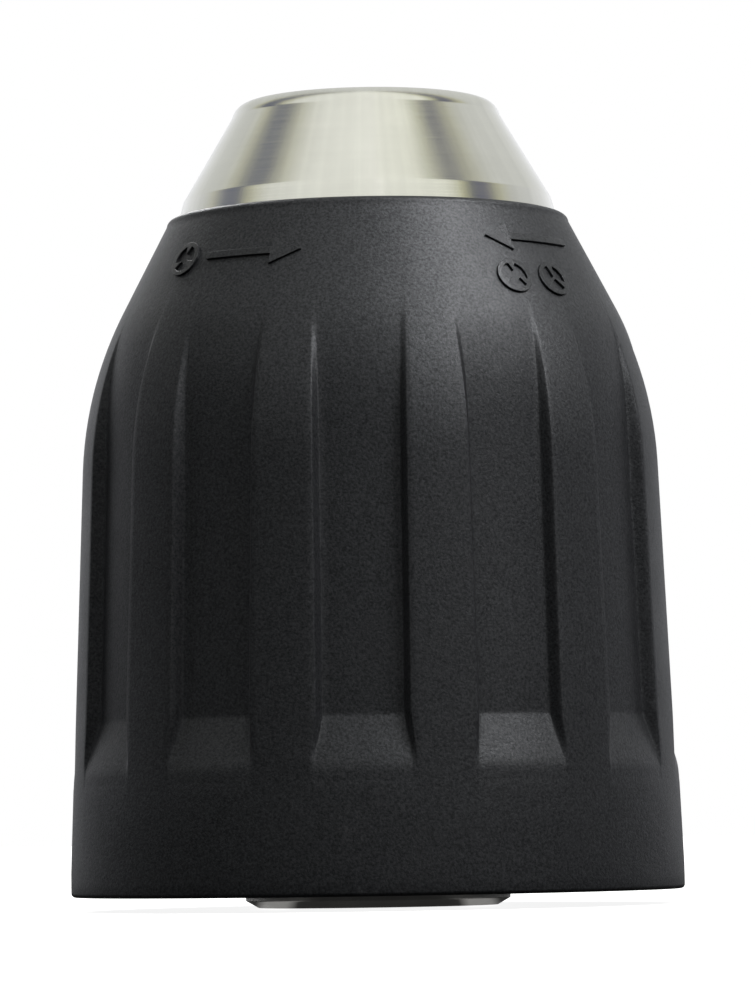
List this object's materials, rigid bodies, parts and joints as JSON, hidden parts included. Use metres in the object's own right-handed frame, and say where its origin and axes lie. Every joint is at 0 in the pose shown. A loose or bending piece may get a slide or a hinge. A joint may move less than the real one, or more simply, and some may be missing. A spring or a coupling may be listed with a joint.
{
  "type": "keyless drill chuck",
  "caption": "Keyless drill chuck with a fluted one-piece grip sleeve, a turned steel nose, a ratchet lock and gripping jaws driven by a split nut.",
  "frame": {"origin": "centre of the tail face, at the mouth of the spindle socket", "axes": "+Z along the chuck's axis from the tail to the nose; +X through the first jaw; the front of the sleeve faces -Y"},
  "size_m": [0.044, 0.044, 0.058],
  "materials": {
    "body_steel": "satin turned steel",
    "nose_steel": "turned steel, bright",
    "felt": "dense grey-black felt",
    "hardened_steel": "ground",
    "ball_steel": "polished",
    "brass": "stamped",
    "nut_steel": "machined",
    "zinc_steel": "zinc plated",
    "spring_steel": "blued",
    "black_nylon": "fine-grained, matte",
    "jaw_steel": "ground and oiled"
  },
  "bodies": {
    "chuck_body": {"chuck_body": "body_steel", "nose_piece": "nose_steel", "dust_seal": "felt", "thrust_ring": "hardened_steel", "ratchet_race": "hardened_steel", "spring_washer": "spring_steel"},
    "nut": {"nut_half_a": "nut_steel", "nut_half_b": "nut_steel", "nut_band": "zinc_steel", "thrust_washer": "hardened_steel", "lock_spring": "spring_steel"},
    "ball_cage": {"ball_cage": "brass", "bearing_balls": "ball_steel"},
    "jaw_1": {"jaw_1": "jaw_steel"},
    "jaw_2": {"jaw_2": "jaw_steel"},
    "jaw_3": {"jaw_3": "jaw_steel"},
    "grip_sleeve": {"grip_sleeve": "black_nylon", "drive_cup": "zinc_steel", "rear_cover": "zinc_steel", "retaining_ring": "spring_steel"}
  },
  "joints": [
    {"name": "nut_spin", "type": "hinge", "parent": "chuck_body", "child": "nut", "pos_m": [0, 0, 0.042], "axis": [0, 0, -1], "range_deg": [0, 5040]},
    {"name": "cage_spin", "type": "hinge", "parent": "chuck_body", "child": "ball_cage", "pos_m": [0, 0, 0.03685], "axis": [0, 0, -1], "range_deg": [0, 2520]},
    {"name": "lock_turn", "type": "hinge", "parent": "nut", "child": "grip_sleeve", "pos_m": [0, 0, 0.038], "axis": [0, 0, -1], "range_deg": [0, 16]},
    {"name": "jaw_1_slide", "type": "slide", "parent": "chuck_body", "child": "jaw_1", "axis": [-0.2588, 0, 0.9659], "range_m": [0, 0.0224]},
    {"name": "jaw_2_slide", "type": "slide", "parent": "chuck_body", "child": "jaw_2", "axis": [0.1294, -0.2241, 0.9659], "range_m": [0, 0.0224]},
    {"name": "jaw_3_slide", "type": "slide", "parent": "chuck_body", "child": "jaw_3", "axis": [0.1294, 0.2241, 0.9659], "range_m": [0, 0.0224]}
  ],
  "couplings": [
    {"joint": "cage_spin", "follows": "nut_spin", "ratio": 0.5},
    {"joint": "jaw_1_slide", "follows": "nut_spin", "m_per_rad": 0.00025465},
    {"joint": "jaw_2_slide", "follows": "nut_spin", "m_per_rad": 0.00025465},
    {"joint": "jaw_3_slide", "follows": "nut_spin", "m_per_rad": 0.00025465}
  ]
}
